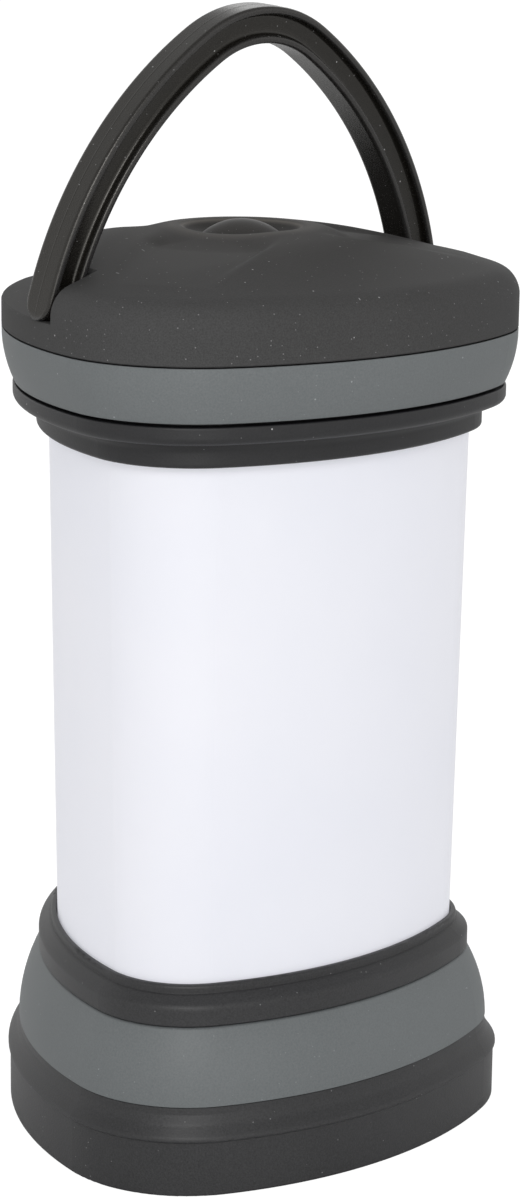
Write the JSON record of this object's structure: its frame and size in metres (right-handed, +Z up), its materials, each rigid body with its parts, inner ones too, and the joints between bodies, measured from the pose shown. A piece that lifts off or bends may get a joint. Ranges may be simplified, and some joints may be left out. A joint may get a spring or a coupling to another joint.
{
  "type": "camping lantern",
  "caption": "Camping lantern: rounded-triangle black base and domed lid with flared grey bands, tall opal diffuser, folding bail handle and a push button on top.",
  "frame": {"origin": "on the surface the lantern stands on, on the axis of its three-sided body", "axes": "+Z up; -Y out of the flat front side of the rounded triangle; the bail handle pivots about X"},
  "size_m": [0.112, 0.1106, 0.242],
  "materials": {
    "black_housing": "fine satin moulded black",
    "soft_black": "soft-touch matte black",
    "handle_plastic": "matte moulded black",
    "grey_trim": "satin painted blue-grey",
    "opal_diffuser": "milky opal, faint sheen",
    "screw_steel": "zinc plated",
    "white_inner": "matte white moulded",
    "contact_steel": "nickel plated",
    "green_board": "green solder mask",
    "white_board": "white solder mask",
    "heat_sink_aluminium": "plain extruded",
    "led_lens": "clear lens over yellow phosphor",
    "seal_rubber": "matte",
    "switch_plastic": "matte",
    "plunger_plastic": "matte",
    "cell_sleeve": "printed sleeve, plain"
  },
  "bodies": {
    "body": {"base_foot": "black_housing", "base_trim_band": "grey_trim", "base_collar": "black_housing", "base_screws": "screw_steel", "battery_tray": "white_inner", "contact_plates": "contact_steel", "contact_springs": "contact_steel", "battery_1": "cell_sleeve", "battery_2": "cell_sleeve", "battery_3": "cell_sleeve", "battery_4": "cell_sleeve", "driver_board": "green_board", "heat_sink": "heat_sink_aluminium", "led_board": "white_board", "leds": "led_lens", "lower_seal": "seal_rubber", "diffuser": "opal_diffuser", "upper_seal": "seal_rubber", "wire_conduit": "white_inner", "lid_collar": "black_housing", "lid_trim_band": "grey_trim", "lid_dome": "soft_black", "lid_screws": "screw_steel", "top_reflector": "white_inner", "switch_board": "green_board", "switch_board_screws": "screw_steel", "tact_switch": "switch_plastic"},
    "door": {"battery_door": "black_housing"},
    "button": {"power_button": "soft_black", "switch_plunger": "plunger_plastic"},
    "handle": {"handle": "handle_plastic"}
  },
  "joints": [
    {"name": "handle_pivot", "type": "hinge", "parent": "body", "child": "handle", "pos_m": [0, 0, 0.184], "axis": [-1, 0, 0], "range_deg": [-6, 94]},
    {"name": "button_press", "type": "slide", "parent": "body", "child": "button", "axis": [0, 0, -1], "range_m": [0, 0.001], "stiffness_N_per_m": 900, "springref_m": -0.0008},
    {"name": "door_turn", "type": "hinge", "parent": "body", "child": "door", "pos_m": [0, 0, 0.0025], "axis": [0, 0, 1], "range_deg": [0, 40]}
  ]
}
